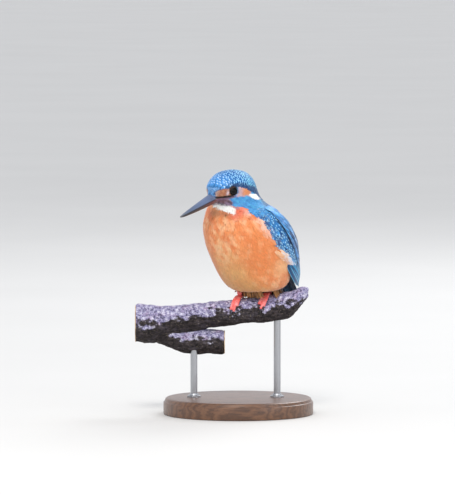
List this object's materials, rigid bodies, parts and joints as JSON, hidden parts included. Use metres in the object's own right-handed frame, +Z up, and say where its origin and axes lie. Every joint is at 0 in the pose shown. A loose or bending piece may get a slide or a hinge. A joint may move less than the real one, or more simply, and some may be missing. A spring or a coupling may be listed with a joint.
{
  "type": "common kingfisher, still display model on a perch",
  "caption": "Life-size still model of a fluffed, perched kingfisher gripping a short cut length of forked branch, held over a flat round base by thin rods.",
  "frame": {"origin": "centre of the underside of the stand's base", "axes": "+Z up; +X along the branch towards its broken end, to the bird's left rear; the bird faces between -X and -Y"},
  "size_m": [0.128, 0.1115, 0.1776],
  "materials": {
    "feathers_rufous": "soft orange-rufous body feathers",
    "feathers_blue": "blue and turquoise feathers with a silky sheen",
    "feathers_white": "white throat and neck feathers",
    "skin": "feathered skin under the coat",
    "bill_horn": "slate-black horn, satin",
    "bill_red": "horn, dark red at the base and black towards the point",
    "eye_dark": "wet, near-black brown",
    "eyelid": "fine dark lid skin",
    "foot_skin": "coral-red scaly skin",
    "claw_horn": "dark horn",
    "bark": "rough dark bark with a lilac-grey lichen crust",
    "cut_wood": "sawn end grain",
    "stand_wood": "dark stained wood, satin",
    "stand_metal": "satin steel"
  },
  "bodies": {
    "root": {"head": "feathers_blue", "neck": "feathers_rufous", "trunk": "feathers_rufous", "tail": "feathers_blue", "wing_left": "feathers_blue", "wing_right": "feathers_blue", "bill_upper": "bill_horn", "bill_lower": "bill_red", "eye_left": "eye_dark", "eye_right": "eye_dark", "tarsus_left": "foot_skin", "tarsus_right": "foot_skin", "foot_left": "foot_skin", "foot_right": "foot_skin", "claw_inner_left": "claw_horn", "claw_middle_left": "claw_horn", "claw_outer_left": "claw_horn", "claw_hind_left": "claw_horn", "claw_inner_right": "claw_horn", "claw_middle_right": "claw_horn", "claw_outer_right": "claw_horn", "claw_hind_right": "claw_horn", "perch_branch": "bark", "stand_base": "stand_wood", "stand_rod_1": "stand_metal", "stand_rod_2": "stand_metal"}
  },
  "joints": []
}
